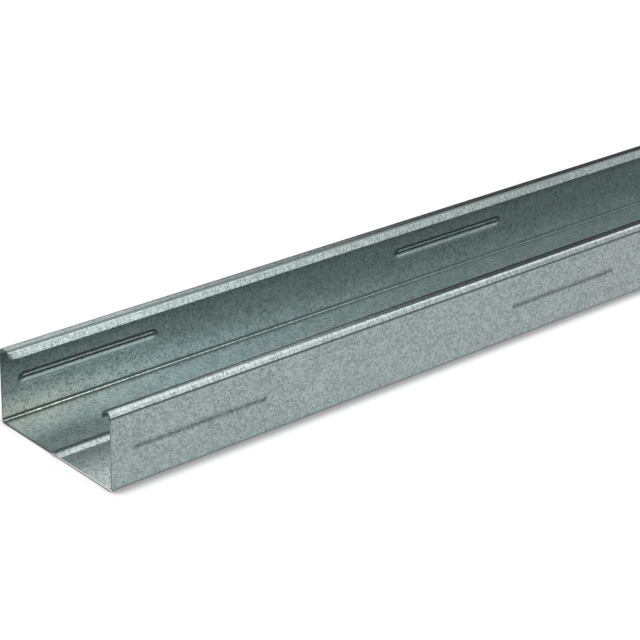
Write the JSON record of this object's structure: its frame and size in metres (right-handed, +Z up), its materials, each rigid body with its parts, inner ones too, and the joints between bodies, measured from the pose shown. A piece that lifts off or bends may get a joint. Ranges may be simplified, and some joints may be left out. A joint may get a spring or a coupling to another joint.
{
  "type": "ceiling channel",
  "caption": "Roll-formed steel C-channel for suspended ceilings: ribbed flat web, flanges with pressed dashes and inward hooked lips for clip-in hangers.",
  "frame": {"origin": "underside of the web, at mid-width and mid-length", "axes": "+X along the channel, away from the end where a dash starts close to the cut; +Y across the web; +Z up, out of the open side"},
  "size_m": [3, 0.06, 0.027],
  "materials": {
    "galvanised_steel": "hot-dip galvanised, satin grey with a fine mottled spangle"
  },
  "bodies": {
    "root": {"channel": "galvanised_steel"}
  },
  "joints": []
}
